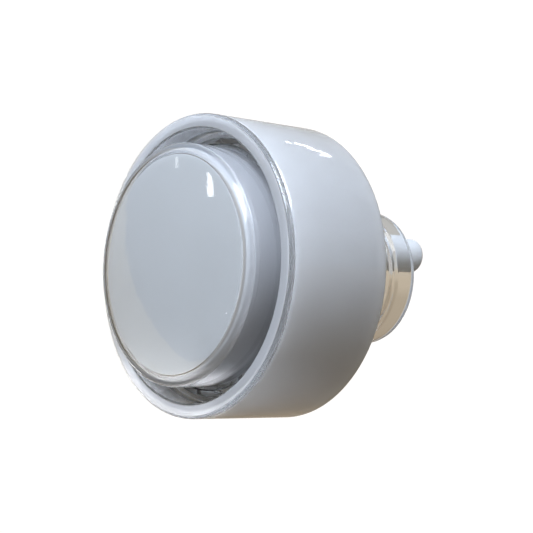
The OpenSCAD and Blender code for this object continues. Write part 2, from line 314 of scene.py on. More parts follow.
def slab(outline, low, high, bevel=0.0):
    """A flat piece with a closed outline of (x, y) points, between two heights."""
    bm = bmesh.new()
    base = bm.faces.new([bm.verts.new((x, y, low)) for x, y in outline])
    grown = bmesh.ops.extrude_face_region(bm, geom=[base])
    raised = [v for v in grown["geom"] if isinstance(v, bmesh.types.BMVert)]
    bmesh.ops.translate(bm, vec=(0, 0, high - low), verts=raised)
    bmesh.ops.recalc_face_normals(bm, faces=bm.faces)
    if bevel > 0:
        rims = [e for e in bm.edges if abs(e.verts[0].co.z - e.verts[1].co.z) < 1e-6]
        bmesh.ops.bevel(bm, geom=rims, offset=bevel, segments=2, profile=0.5, affect="EDGES")
    bmesh.ops.transform(bm, matrix=Matrix.Scale(MM, 4), verts=bm.verts)
    return made("slab", bm)


def combine(obj, others, operation):
    """Applies a boolean of obj with each of the others, which are used up."""
    for other in others:
        mod = obj.modifiers.new("cut", "BOOLEAN")
        mod.operation = operation
        mod.solver = "EXACT"
        mod.object = other
    flatten(obj)
    for other in others:
        bpy.data.objects.remove(other)


def flatten(obj):
    """Replaces obj's mesh by the evaluated one and drops its modifiers."""
    dg = bpy.context.evaluated_depsgraph_get()
    dg.update()
    mesh = bpy.data.meshes.new_from_object(obj.evaluated_get(dg))
    obj.modifiers.clear()
    obj.data = mesh


def smooth(obj, angle=SMOOTH_ANGLE):
    obj.data.polygons.foreach_set("use_smooth", [True] * len(obj.data.polygons))
    obj.data.set_sharp_from_angle(angle=angle)
    obj.data.update()


def dress(obj, material, body, slot, *nodes):
    """Gives a finished piece its material and body, and hides the CAD nodes it stands for; slot is not used.
    """
    obj.data.materials.clear()
    obj.data.materials.append(material)
    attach(obj, body)
    if nodes:
        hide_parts(*nodes)


def finish_zone(obj, material, inside):
    """Gives a second material to the faces whose middle (radius, height) passes the test."""
    obj.data.materials.append(material)
    index = len(obj.data.materials) - 1
    for face in obj.data.polygons:
        x, y, z = face.center / MM
        if inside(math.hypot(x, y), z):
            face.material_index = index


# Node trees
def calculator(tree):
    """A function that adds a Math node, fed by numbers or sockets, to the tree and gives its output."""
    def calc(operation, *values):
        node = tree.nodes.new("ShaderNodeMath")
        node.operation = operation
        for socket, value in zip(node.inputs, values):
            if isinstance(value, (int, float)):
                socket.default_value = value
            else:
                tree.links.new(value, socket)
        return node.outputs[0]

    return calc


def new_tree(name, inputs):
    """An empty node tree whose modifier takes the named inputs."""
    tree = bpy.data.node_groups.new(name, "GeometryNodeTree")
    tree.interface.new_socket("Geometry", in_out="INPUT", socket_type="NodeSocketGeometry")
    for label, kind in inputs:
        tree.interface.new_socket(label, in_out="INPUT", socket_type=kind)
    tree.interface.new_socket("Geometry", in_out="OUTPUT", socket_type="NodeSocketGeometry")
    return tree, tree.nodes.new("NodeGroupInput"), tree.nodes.new("NodeGroupOutput")


def grow(obj, tree, values):
    """Runs a node tree on obj with its named inputs and keeps the result as a plain mesh."""
    mod = obj.modifiers.new(tree.name, "NODES")
    mod.node_group = tree
    for item in tree.interface.items_tree:
        if item.in_out == "INPUT" and item.name in values:
            mod[item.identifier] = values[item.name]
    flatten(obj)
    return obj


def ring_tree():
    """Copies of a piece at even turns about an upright axis."""
    tree, given, result = new_tree("ring of copies", [
        ("Count", "NodeSocketInt"), ("First Turn", "NodeSocketFloat"), ("Centre", "NodeSocketVector"),
        ("Material", "NodeSocketMaterial")])
    nodes, links = tree.nodes, tree.links
    points = nodes.new("GeometryNodePoints")
    copies = nodes.new("GeometryNodeInstanceOnPoints")
    order = nodes.new("GeometryNodeInputIndex")
    calc = calculator(tree)
    step = calc("DIVIDE", 2 * math.pi, given.outputs["Count"])
    turn = calc("MULTIPLY_ADD", order.outputs[0], step, given.outputs["First Turn"])
    spin = nodes.new("ShaderNodeCombineXYZ")
    solid = nodes.new("GeometryNodeRealizeInstances")
    finish = nodes.new("GeometryNodeSetMaterial")
    links.new(given.outputs["Count"], points.inputs["Count"])
    links.new(given.outputs["Centre"], points.inputs["Position"])
    links.new(turn, spin.inputs["Z"])
    links.new(points.outputs[0], copies.inputs["Points"])
    links.new(given.outputs["Geometry"], copies.inputs["Instance"])
    links.new(spin.outputs[0], copies.inputs["Rotation"])
    links.new(copies.outputs[0], solid.inputs[0])
    links.new(solid.outputs[0], finish.inputs["Geometry"])
    links.new(given.outputs["Material"], finish.inputs["Material"])
    links.new(finish.outputs[0], result.inputs[0])
    return tree


def ring_of(obj, name, count, first_turn, material, centre=(0, 0)):
    """Replaces obj, drawn about the axis at the origin, by a ring of copies about centre."""
    obj.name = name
    return grow(obj, RING, {"Count": count, "First Turn": math.radians(first_turn), "Material": material,
                            "Centre": (centre[0] * MM, centre[1] * MM, 0.0)})


def coil_tree():
    """A round wire on a helix whose end coils lie flat."""
    tree, given, result = new_tree("wound coil", [
        ("Radius", "NodeSocketFloat"), ("Wire", "NodeSocketFloat"), ("Coils", "NodeSocketFloat"),
        ("Low", "NodeSocketFloat"), ("Height", "NodeSocketFloat"), ("Material", "NodeSocketMaterial")])
    nodes, links = tree.nodes, tree.links
    calc = calculator(tree)
    line = nodes.new("GeometryNodeCurvePrimitiveLine")
    points = nodes.new("GeometryNodeResampleCurve")
    points.inputs["Count"].default_value = COIL_POINTS
    share = nodes.new("GeometryNodeSplineParameter").outputs["Factor"]
    turns = calc("MULTIPLY", share, given.outputs["Coils"])
    angle = calc("MULTIPLY", turns, 2 * math.pi)
    rising = nodes.new("ShaderNodeMapRange")
    rising.interpolation_type = "SMOOTHSTEP"
    rising.inputs["From Min"].default_value = FLAT_COIL
    links.new(turns, rising.inputs["Value"])
    links.new(calc("SUBTRACT", given.outputs["Coils"], FLAT_COIL), rising.inputs["From Max"])
    free = calc("SUBTRACT", given.outputs["Height"], given.outputs["Wire"])
    base = calc("MULTIPLY_ADD", given.outputs["Wire"], 0.5, given.outputs["Low"])
    place = nodes.new("ShaderNodeCombineXYZ")
    for axis, wave in (("X", "COSINE"), ("Y", "SINE")):
        links.new(calc("MULTIPLY", calc(wave, angle), given.outputs["Radius"]), place.inputs[axis])
    links.new(calc("MULTIPLY_ADD", rising.outputs[0], free, base), place.inputs["Z"])
    bend = nodes.new("GeometryNodeSetPosition")
    section = nodes.new("GeometryNodeCurvePrimitiveCircle")
    section.inputs["Resolution"].default_value = 20
    links.new(calc("MULTIPLY", given.outputs["Wire"], 0.5), section.inputs["Radius"])
    wire = nodes.new("GeometryNodeCurveToMesh")
    wire.inputs["Fill Caps"].default_value = True
    solid = nodes.new("GeometryNodeRealizeInstances")
    finish = nodes.new("GeometryNodeSetMaterial")
    links.new(line.outputs[0], points.inputs["Curve"])
    links.new(points.outputs[0], bend.inputs["Geometry"])
    links.new(place.outputs[0], bend.inputs["Position"])
    links.new(bend.outputs[0], wire.inputs["Curve"])
    links.new(section.outputs[0], wire.inputs["Profile Curve"])
    links.new(wire.outputs[0], solid.inputs[0])
    links.new(solid.outputs[0], finish.inputs["Geometry"])
    links.new(given.outputs["Material"], finish.inputs["Material"])
    links.new(finish.outputs[0], result.inputs[0])
    return tree


# Shader helpers
DUST_COLOR = (0.12, 0.1, 0.09, 1)
PLASTIC_IOR = 1.5


def new_material(name):
    mat = bpy.data.materials.new(name)
    mat.use_nodes = True
    return mat, mat.node_tree.nodes, mat.node_tree.links, mat.node_tree.nodes["Principled BSDF"]


def moulded_group():
    """Node group of a moulded surface: colour drift, hairline scuffs, dust specks and a fine grain."""
    group = bpy.data.node_groups.new("moulded surface", "ShaderNodeTree")
    face = group.interface
    for label in ("Color", "Tint"):
        face.new_socket(label, in_out="INPUT", socket_type="NodeSocketColor")
    for label in ("Drift", "Roughness", "Spread", "Scale", "Scuffs", "Specks"):
        face.new_socket(label, in_out="INPUT", socket_type="NodeSocketFloat")
    face.new_socket("Color", in_out="OUTPUT", socket_type="NodeSocketColor")
    face.new_socket("Roughness", in_out="OUTPUT", socket_type="NodeSocketFloat")
    face.new_socket("Height", in_out="OUTPUT", socket_type="NodeSocketFloat")
    nodes, links = group.nodes, group.links
    given, result = nodes.new("NodeGroupInput"), nodes.new("NodeGroupOutput")
    coord = nodes.new("ShaderNodeTexCoord")
    calc = calculator(group)

    def noise(scale, detail=2.0):
        node = nodes.new("ShaderNodeTexNoise")
        node.inputs["Detail"].default_value = detail
        links.new(coord.outputs["Object"], node.inputs["Vector"])
        if isinstance(scale, (int, float)):
            node.inputs["Scale"].default_value = scale
        else:
            links.new(scale, node.inputs["Scale"])
        return node.outputs["Fac"]

    def above(value, low, high):
        node = nodes.new("ShaderNodeMapRange")
        node.interpolation_type = "SMOOTHSTEP"
        node.inputs["From Min"].default_value = low
        node.inputs["From Max"].default_value = high
        links.new(value, node.inputs["Value"])
        return node.outputs[0]

    def blend(share, first, second):
        node = nodes.new("ShaderNodeMix")
        node.data_type = "RGBA"
        links.new(share, node.inputs["Factor"])
        links.new(first, node.inputs[6])
        if isinstance(second, tuple):
            node.inputs[7].default_value = second
        else:
            links.new(second, node.inputs[7])
        return node.outputs[2]

    # Hairline scuffs run along the contours of a slow noise, and a second noise keeps a few of them.
    # Dust specks sit at the middles of cells, and only the cells with the highest random colour have one
    line = calc("SUBTRACT", 1.0, above(calc("ABSOLUTE", calc("SUBTRACT", noise(160, 1), 0.5)), 0.0, 0.006))
    scuff = calc("MULTIPLY", calc("MULTIPLY", line, above(noise(90, 1), 0.56, 0.62)), given.outputs["Scuffs"])
    cells = nodes.new("ShaderNodeTexVoronoi")
    cells.inputs["Scale"].default_value = 150
    links.new(coord.outputs["Object"], cells.inputs["Vector"])
    chosen = nodes.new("ShaderNodeSeparateColor")
    links.new(cells.outputs["Color"], chosen.inputs[0])
    dot = calc("SUBTRACT", 1.0, above(cells.outputs["Distance"], 0.03, 0.06))
    kept = above(chosen.outputs[0], 0.93, 0.94)
    speck = calc("MULTIPLY", calc("MULTIPLY", dot, kept), given.outputs["Specks"])
    drift = calc("MULTIPLY", above(noise(45), 0.35, 0.65), given.outputs["Drift"])
    color = blend(drift, given.outputs["Color"], given.outputs["Tint"])
    color = blend(speck, color, DUST_COLOR)
    grain = noise(given.outputs["Scale"], 3)
    rough = calc("MULTIPLY_ADD", grain, given.outputs["Spread"], given.outputs["Roughness"])
    rough = calc("ADD", calc("MULTIPLY", scuff, 0.25), rough)
    links.new(color, result.inputs["Color"])
    links.new(rough, result.inputs["Roughness"])
    links.new(calc("SUBTRACT", grain, calc("MULTIPLY", scuff, 0.6)), result.inputs["Height"])
    return group


def moulded(name, color, tint=None, drift=0.5, roughness=0.3, spread=0.1, scale=500, bump=0.002,
            scuffs=0.3, specks=0.0, coat=0.0, metallic=0.0, milky=0.0, depth=1.0):
    """A Principled material fed by the moulded surface; bump and depth are in millimetres.

    milky is the share of light that spreads inside the piece, and depth is how far it goes."""
    mat, nodes, links, shader = new_material(name)
    surface = nodes.new("ShaderNodeGroup")
    surface.node_tree = MOULDED
    given = {"Color": (*color, 1), "Tint": (*(tint or tuple(v * 0.94 for v in color)), 1), "Drift": drift,
             "Roughness": roughness, "Spread": spread, "Scale": scale, "Scuffs": scuffs, "Specks": specks}
    for label, value in given.items():
        surface.inputs[label].default_value = value
    relief = nodes.new("ShaderNodeBump")
    relief.inputs["Distance"].default_value = bump * MM
    links.new(surface.outputs["Color"], shader.inputs["Base Color"])
    links.new(surface.outputs["Roughness"], shader.inputs["Roughness"])
    links.new(surface.outputs["Height"], relief.inputs["Height"])
    links.new(relief.outputs["Normal"], shader.inputs["Normal"])
    shader.inputs["Coat Weight"].default_value = coat
    shader.inputs["Metallic"].default_value = metallic
    shader.inputs["Subsurface Weight"].default_value = milky
    shader.inputs["Subsurface Radius"].default_value = (1, 1, 1)
    shader.inputs["Subsurface Scale"].default_value = depth * MM
    return mat


def light_path(tree, *kinds):
    """The largest of the named outputs of a Light Path node."""
    path = tree.nodes.new("ShaderNodeLightPath")
    calc = calculator(tree)
    share = path.outputs[kinds[0]]
    for kind in kinds[1:]:
        share = calc("MAXIMUM", share, path.outputs[kind])
    return share


def clear_plastic(name, color, clearness=1.0, roughness=0.02, **finish):
    """Clear or hazy plastic that lets lamplight through to what is behind it."""
    mat = moulded(name, color, roughness=roughness, spread=0.01, bump=0.008, scale=160, **finish)
    nodes, links = mat.node_tree.nodes, mat.node_tree.links
    shader = nodes["Principled BSDF"]
    shader.inputs["Transmission Weight"].default_value = clearness
    shader.inputs["IOR"].default_value = PLASTIC_IOR
    open_way = nodes.new("ShaderNodeBsdfTransparent")
    mix = nodes.new("ShaderNodeMixShader")
    links.new(light_path(mat.node_tree, "Is Shadow Ray", "Is Diffuse Ray"), mix.inputs[0])
    links.new(shader.outputs[0], mix.inputs[1])
    links.new(open_way.outputs[0], mix.inputs[2])
    links.new(mix.outputs[0], nodes["Material Output"].inputs["Surface"])
    return mat


# Camera, floor and light: lengths are in metres, apart from those times MM, and power is in watts
CAMERA_PLACE = Vector((262.67, -11.29, 226.41)) * MM
CAMERA_AHEAD = Vector((-0.76474, 0.03540, -0.64337))
CAMERA_UP = Vector((0.0, 0.99849, 0.05494))
CAMERA_LENS = 114.1
# The window that lights the object: the way to it from the origin, its distance, aim and size
KEY_WAY = Vector((0.42, 0.76, 0.49)).normalized()
KEY_REACH = 0.9
KEY_AIM = (0, 0, 0.01)
KEY_SIZE = (0.45, 0.5)
KEY_POWER = 9.2
KEY_COLOR = (0.74, 0.84, 1.0)
# A weak, narrow beam from below onto the plunger's lower side
LOW_PLACE = Vector((-8, -150, 58)) * MM
LOW_AIM = Vector((-6, -24.5, 26.2)) * MM
LOW_SIZE = (0.03, 0.004)
LOW_POWER = 0.0014
LOW_SPREAD = math.radians(4)
LOW_COLOR = (0.93, 0.95, 1.0)
# Lamps that show only as highlights: (name, start, end, width, brightness)
ROOM_LAMPS = [("side window", (0.488, 0.752, -0.44), (0.488, 0.752, 0.60), 0.5, 6.5),
              ("far window", (-0.86, -0.34, -0.08), (-0.88, 0.22, -0.08), 0.09, 7.0)]
ROOM_LAMP_AIM = (0, 0, 0.02)
GLINT_COLOR = (0.97, 0.99, 1.0)
# Pieces of the long highlight on the sleeve. Each end is (degrees round the axis, height in mm), and
# after the ends come the lamp's width in mm and its brightness
SLEEVE_STREAKS = [((52.3, 22.0), (52.7, 20.4), 2.6, 16.0), ((53.3, 17.2), (52.8, 14.6), 2.6, 18.0),
                  ((53.4, 13.2), (53.2, 12.6), 1.6, 8.0), ((53.1, 12.2), (51.2, 9.2), 3.0, 16.0),
                  ((51.0, 9.8), (51.5, 5.1), 2.6, 14.0), ((48.8, 6.9), (48.8, 5.0), 2.4, 18.0),
                  ((50.9, 4.3), (49.1, 2.0), 2.6, 20.0)]
SLEEVE_LAMP_REACH = 170 * MM
# Highlights on the cap's face, each end (x, y) in mm: a bright bar, a faint one and a speck
FACE_STREAKS = [((11.2, 17.6), (12.2, 12.7), 3.5, 12.0), ((0.5, 21.8), (0.8, 18.7), 1.6, 5.0),
                ((18.6, -9.1), (18.9, -9.5), 1.2, 14.0)]
FACE_LAMP_REACH = 400 * MM
# Light of the room, from the -Y side of the object round to the +Y side: (share of the way, colour)
ROOM = [(0.0, (0.09, 0.075, 0.055)), (0.42, (0.19, 0.17, 0.14)), (0.56, (0.33, 0.335, 0.34)),
        (1.0, (0.60, 0.71, 0.90))]
FLOOR_Z = -0.16
FLOOR_COLOR = (0.22, 0.19, 0.15)
FLOOR_WHITE = 0.93
# What clear and shiny parts show of the floor, from the -Y side to the +Y side: (Y, colour)
BACKDROP = [(-0.03, (0.38, 0.31, 0.23)), (0.0, (0.46, 0.385, 0.29)), (0.004, (0.56, 0.475, 0.365)),
            (0.011, (0.56, 0.475, 0.365)), (0.017, (0.53, 0.52, 0.50))]
BACKDROP_REACH = 0.05
# The room's warm side as the cap's face mirrors it: a ring in the Y and Z of the way that a ray goes
WARM_MIDDLE = (0.0884, 0.707)
WARM_R = 0.1603
WARM_OUT_R = 3 * WARM_R
WARM_SIDE = (1.15, 0.95, 0.62)


def make_camera():
    data = bpy.data.cameras.new("camera")
    data.lens = CAMERA_LENS
    data.sensor_width = 36
    data.clip_start, data.clip_end = 0.01, 20
    camera = bpy.data.objects.new("camera", data)
    side = CAMERA_AHEAD.cross(CAMERA_UP).normalized()
    up = side.cross(CAMERA_AHEAD).normalized()
    turn = Matrix((side, up, -CAMERA_AHEAD)).transposed()
    camera.matrix_world = Matrix.Translation(CAMERA_PLACE) @ turn.to_4x4()
    bpy.context.scene.collection.objects.link(camera)
    bpy.context.scene.camera = camera


def area_lamp(name, place, turn, size, power, color):
    """A rectangular lamp; turn is a rotation matrix whose -Z is the way it shines."""
    data = bpy.data.lights.new(name, "AREA")
    data.shape = "RECTANGLE"
    data.size, data.size_y = size
    data.energy = power
    data.color = color
    light = bpy.data.objects.new(name, data)
    light.matrix_world = Matrix.Translation(place) @ turn.to_4x4()
    bpy.context.scene.collection.objects.link(light)
    return light


def soft_light(name, place, aim, size, power, color):
    """A lamp at a place that shines on an aim."""
    turn = (Vector(aim) - Vector(place)).to_track_quat("-Z", "Y").to_matrix()
    return area_lamp(name, place, turn, size, power, color)


def glint(name, start, end, aim, width, brightness):
    """A narrow lamp from start to end that shows only as a mirrored highlight."""
    start, end = Vector(start), Vector(end)
    place = (start + end) / 2
    back = (place - Vector(aim)).normalized()
    along = end - start
    flat = (along - back * along.dot(back)).normalized()
    turn = Matrix((flat, back.cross(flat), back)).transposed()
    power = brightness * along.length * width * math.pi
    light = area_lamp(name, place, turn, (along.length, width), power, GLINT_COLOR)
    light.visible_camera = False
    light.visible_diffuse = False
    light.visible_transmission = False


def on_sleeve(turn, height):
    """A point of the sleeve's outer wall and the normal there, from degrees round the axis and a height."""
    out = Vector((math.cos(math.radians(turn)), math.sin(math.radians(turn)), 0))
    return (out * BEZEL_R + Vector((0, 0, height))) * MM, out - Vector((0, 0, SLEEVE_TAPER / RIM_Z))


def on_face(x, y):
    """A point of the cap's crowned face and the normal there."""
    lean = 2 * CAP_CROWN / CAP_FACE_R ** 2
    drop = lean / 2 * (x * x + y * y)
    return Vector((x, y, CAP_TOP - drop)) * MM, Vector((lean * x, lean * y, 1))


def mirrored(point, normal, reach):
    """The place, at a distance from a point of a shiny surface, that the camera sees mirrored there."""
    ray = (point - CAMERA_PLACE).normalized()
    normal = normal.normalized()
    return point + (ray - 2 * ray.dot(normal) * normal) * reach


def make_highlights(name, surface, streaks, reach):
    """Lamps whose mirror images run between given places of a shiny surface."""
    for start, end, width, brightness in streaks:
        first, second = surface(*start), surface(*end)
        glint(name, mirrored(*first, reach), mirrored(*second, reach), (first[0] + second[0]) / 2,
              width * MM, brightness)


def make_lamps():
    soft_light("window", KEY_WAY * KEY_REACH, KEY_AIM, KEY_SIZE, KEY_POWER, KEY_COLOR)
    beam = soft_light("low fill", LOW_PLACE, LOW_AIM, LOW_SIZE, LOW_POWER, LOW_COLOR)
    beam.data.spread = LOW_SPREAD
    beam.visible_glossy = False
    for name, start, end, width, brightness in ROOM_LAMPS:
        glint(name, start, end, ROOM_LAMP_AIM, width, brightness)
    make_highlights("sleeve glint", on_sleeve, SLEEVE_STREAKS, SLEEVE_LAMP_REACH)
    make_highlights("face glint", on_face, FACE_STREAKS, FACE_LAMP_REACH)


def fill_ramp(ramp, marks):
    """Sets a colour ramp to marks of (position, colour)."""
    elements = ramp.color_ramp.elements
    elements.remove(elements[1])
    elements[0].position = marks[0][0]
    for position, _ in marks[1:]:
        elements.new(position)
    for element, (_, color) in zip(elements, marks):
        element.color = (*color, 1)


def make_world():
    """White to the camera; to the object, a cool sky on the +Y side and a warm room on the -Y side."""
    world = bpy.data.worlds.new("studio")
    bpy.context.scene.world = world
    world.use_nodes = True
    nodes, links = world.node_tree.nodes, world.node_tree.links
    lit = nodes["Background"]
    coord = nodes.new("ShaderNodeTexCoord")
    split = nodes.new("ShaderNodeSeparateXYZ")
    span = nodes.new("ShaderNodeMapRange")
    span.inputs["From Min"].default_value = -1
    ramp = nodes.new("ShaderNodeValToRGB")
    links.new(coord.outputs["Generated"], split.inputs[0])
    links.new(split.outputs["Y"], span.inputs["Value"])
    links.new(span.outputs[0], ramp.inputs[0])
    fill_ramp(ramp, ROOM)
    calc = calculator(world.node_tree)
    off_y, off_z = (calc("SUBTRACT", split.outputs[axis], middle) for axis, middle in zip("YZ", WARM_MIDDLE))
    away = calc("SQRT", calc("ADD", calc("MULTIPLY", off_y, off_y), calc("MULTIPLY", off_z, off_z)))
    ring = calc("MULTIPLY", calc("GREATER_THAN", away, WARM_R), calc("LESS_THAN", away, WARM_OUT_R))
    half = calc("MULTIPLY", ring, calc("LESS_THAN", split.outputs["X"], 0.0))
    path = nodes.new("ShaderNodeLightPath")
    glossy = calc("GREATER_THAN", path.outputs["Is Glossy Ray"], path.outputs["Is Transmission Ray"])
    warm = calc("MULTIPLY", half, glossy)
    room = nodes.new("ShaderNodeMix")
    room.data_type = "RGBA"
    room.inputs[7].default_value = (*WARM_SIDE, 1)
    links.new(warm, room.inputs["Factor"])
    links.new(ramp.outputs[0], room.inputs[6])
    links.new(room.outputs[2], lit.inputs["Color"])
    white = nodes.new("ShaderNodeBackground")
    white.inputs["Color"].default_value = (1, 1, 1, 1)
    mix = nodes.new("ShaderNodeMixShader")
    links.new(light_path(world.node_tree, "Is Camera Ray"), mix.inputs[0])
    links.new(lit.outputs[0], mix.inputs[1])
    links.new(white.outputs[0], mix.inputs[2])
    links.new(mix.outputs[0], nodes["World Output"].inputs["Surface"])


def make_floor():
    """A floor that is white to the camera, keeps the object's shadow, and is a tan and grey backdrop
    to what the clear pieces show."""
    bm = bmesh.new()
    bmesh.ops.create_grid(bm, x_segments=1, y_segments=1, size=3)
    floor = made("floor", bm)
    floor.location.z = FLOOR_Z
    mat, nodes, links, shader = new_material("pale floor")
    shader.inputs["Base Color"].default_value = (*FLOOR_COLOR, 1)
    shader.inputs["Roughness"].default_value = 0.9
    shader.inputs["Specular IOR Level"].default_value = 0.0
    white = nodes.new("ShaderNodeEmission")
    white.inputs["Strength"].default_value = FLOOR_WHITE
    lifted = nodes.new("ShaderNodeAddShader")
    behind = nodes.new("ShaderNodeEmission")
    coord = nodes.new("ShaderNodeTexCoord")
    split = nodes.new("ShaderNodeSeparateXYZ")
    span = nodes.new("ShaderNodeMapRange")
    span.inputs["From Min"].default_value = -BACKDROP_REACH
    span.inputs["From Max"].default_value = BACKDROP_REACH
    ramp = nodes.new("ShaderNodeValToRGB")
    fill_ramp(ramp, [(y / (2 * BACKDROP_REACH) + 0.5, color) for y, color in BACKDROP])
    links.new(coord.outputs["Object"], split.inputs[0])
    links.new(split.outputs["Y"], span.inputs["Value"])
    links.new(span.outputs[0], ramp.inputs[0])
    links.new(ramp.outputs[0], behind.inputs["Color"])
    first, second = nodes.new("ShaderNodeMixShader"), nodes.new("ShaderNodeMixShader")
    links.new(shader.outputs[0], lifted.inputs[0])
    links.new(white.outputs[0], lifted.inputs[1])
    links.new(light_path(mat.node_tree, "Is Camera Ray"), first.inputs[0])
    links.new(shader.outputs[0], first.inputs[1])
    links.new(lifted.outputs[0], first.inputs[2])
    links.new(light_path(mat.node_tree, "Is Transmission Ray", "Is Glossy Ray"), second.inputs[0])
    links.new(first.outputs[0], second.inputs[1])
    links.new(behind.outputs[0], second.inputs[2])
    links.new(second.outputs[0], nodes["Material Output"].inputs["Surface"])
    floor.data.materials.append(mat)


# The pieces of the housing
def thread(r, z, angle):
    """Radius of the neck's outer wall: a trapezoid thread that runs out before the open end."""
    if abs(r - NECK_R) > 0.01 or z > -THREAD_START:
        return r
    start = NECK_END + THREAD_END
    fade = min(1.0, max(0.0, (z - start) / (THREAD_PITCH / 2)), max(0.0, (-THREAD_START - z) / THREAD_PITCH))
    phase = (z / THREAD_PITCH - angle / (2 * math.pi)) % 1.0
    flank = abs(phase - 0.5) * 2
    dip = min(1.0, max(0.0, (flank - THREAD_CREST) / THREAD_FLANKS))
    return r - THREAD_DEPTH * dip * fade


def strip(outline, width, across=12):
    """A straight-sided sector of a turned shape, centred on the X axis."""
    bm = bmesh.new()
    rows = []
    for k in range(across + 1):
        y = width * (k / across - 0.5)
        rows.append([bm.verts.new((math.sqrt(r * r - y * y) * MM, y * MM, z * MM)) for r, z in outline])
    for a, b in zip(rows, rows[1:]):
        for i in range(len(outline)):
            j = (i + 1) % len(outline)
            bm.faces.new((a[i], a[j], b[j], b[i]))
    bm.faces.new(rows[0])
    bm.faces.new(rows[-1])
    bmesh.ops.recalc_face_normals(bm, faces=bm.faces)
    return made("strip", bm)


def make_housing():
    neck = divided([(NECK_R, NECK_END + NECK_CHAMFER), (NECK_R, 0)], THREAD_STEP)
    foot = RIM_Z + RIM_FOOT
    rim = arc(BEZEL_R - RIM_ROUND, foot, RIM_ROUND, BEZEL_TOP - foot, 0, 90, 8)
    outside = rounded([
        (COLLAR_R, 0, 0.15), (COLLAR_R, FLOOR_LOW, 0.5), (GUIDE_OUT_R, FLOOR_LOW, 0.3),
        (GUIDE_OUT_R, SHELF_Z - SHELF_T, 0.4), (RECESS_R, SHELF_Z - SHELF_T, 0.4),
        (RECESS_R, PLATE_T + FIT_GAP, 0.3), (BARREL_R, PLATE_T + FIT_GAP, 0.3), (BARREL_R, RIM_Z, 0.1),
        (BEZEL_R, RIM_Z, 0), (BEZEL_R, BEZEL_TOP, 0), (RECESS_R, BEZEL_TOP, 0.5), (RECESS_R, SHELF_Z, 0.4),
        (GUIDE_R, SHELF_Z, 0.5), (GUIDE_R, FLOOR_TOP, 0.5), (LOCATOR_OUT_R, FLOOR_TOP, 0.1),
        (LOCATOR_OUT_R, FLOOR_TOP + LOCATOR_H, 0.15), (LOCATOR_IN_R, FLOOR_TOP + LOCATOR_H, 0.15),
        (LOCATOR_IN_R, FLOOR_TOP, 0.1), (BORE_R, FLOOR_TOP, 0.3), (BORE_R, LEDGE_Z + LEDGE_T, 0.1),
        (LEDGE_R, LEDGE_Z + LEDGE_T, 0.15), (LEDGE_R, LEDGE_Z, 0.1), (BORE_R, LEDGE_Z, 0.1),
        (BORE_R, NECK_END, 0.3), (NECK_R, NECK_END, 0), (NECK_R, 0, 0),
    ])
    corner = outside.index((BEZEL_R, BEZEL_TOP))
    outside[corner:corner + 1] = rim
    end = outside.index((NECK_R, NECK_END))
    chamfer = [(NECK_R - NECK_CHAMFER, NECK_END), (NECK_R - 0.2, NECK_END + 0.1)]
    outside[end:] = chamfer + neck
    housing = lathe("housing_shell", outside, shape=thread)
    slot_low, slot_high = FLOOR_LOW - OVERRUN, FLOOR_TOP + OVERRUN
    slot = strip([(SLOT_IN_R, slot_low), (SLOT_OUT_R, slot_low), (SLOT_OUT_R, slot_high),
                  (SLOT_IN_R, slot_high)], SLOT_W)
    combine(housing, [ring_of(slot, "floor_slots", HOOKS, HOOK_TURN, CLEAR)], "DIFFERENCE")
    added = []
    for turn in RIB_TURNS:
        rib = block((COLLAR_R - 0.3, -RIB_T / 2, RIB_LOW), (RECESS_R + 0.7, RIB_T / 2, FLOOR_LOW + 0.3))
        added.append(ring_of(rib, "floor_ribs", HOOKS, HOOK_TURN + turn, CLEAR))
    key = block((COLLAR_R - 0.5, -KEY_W / 2, FIT_GAP), (COLLAR_R + KEY_H, KEY_W / 2, RIB_LOW + 0.1), 0.15)
    added.append(ring_of(key, "sleeve_keys", 2, 0, CLEAR))
    combine(housing, added, "UNION")
    smooth(housing)
    dress(housing, CLEAR, "housing", "clear_plastic", "clear_housing")
    finish_zone(housing, RIM_HAZE, lambda r, z: z > BEZEL_TOP - 0.02 and r > RECESS_R)
    finish_zone(housing, MATT_CLEAR, lambda r, z: abs(r - BARREL_R) < 0.12 and PLATE_T < z < RIM_Z)
    finish_zone(housing, MATT_CLEAR, lambda r, z: r > BARREL_R and abs(z - RIM_Z) < 0.02)
    finish_zone(housing, RIM_HAZE, lambda r, z: z < NECK_END + 0.05)


def make_sleeve():
    back_r = BEZEL_R - SLEEVE_TAPER
    sleeve = lathe("sleeve_shell", rounded([
        (COLLAR_R + FIT_GAP, 0, 0.2), (back_r, 0, 0.6), (BEZEL_R, RIM_Z, 0.8),
        (BARREL_R + FIT_GAP, RIM_Z, 0.1), (BARREL_R + FIT_GAP, PLATE_T, 0.4),
        (COLLAR_R + FIT_GAP, PLATE_T, 0.1)]))
    notch = block((COLLAR_R - OVERRUN, -KEY_W / 2 - FIT_GAP, -OVERRUN),
                  (COLLAR_R + KEY_H + FIT_GAP, KEY_W / 2 + FIT_GAP, 2 * PLATE_T))
    combine(sleeve, [ring_of(notch, "key_notches", 2, 0, SLEEVE_WHITE)], "DIFFERENCE")
    smooth(sleeve)
    dress(sleeve, SLEEVE_WHITE, "housing", "white_gloss_plastic", "outer_sleeve")


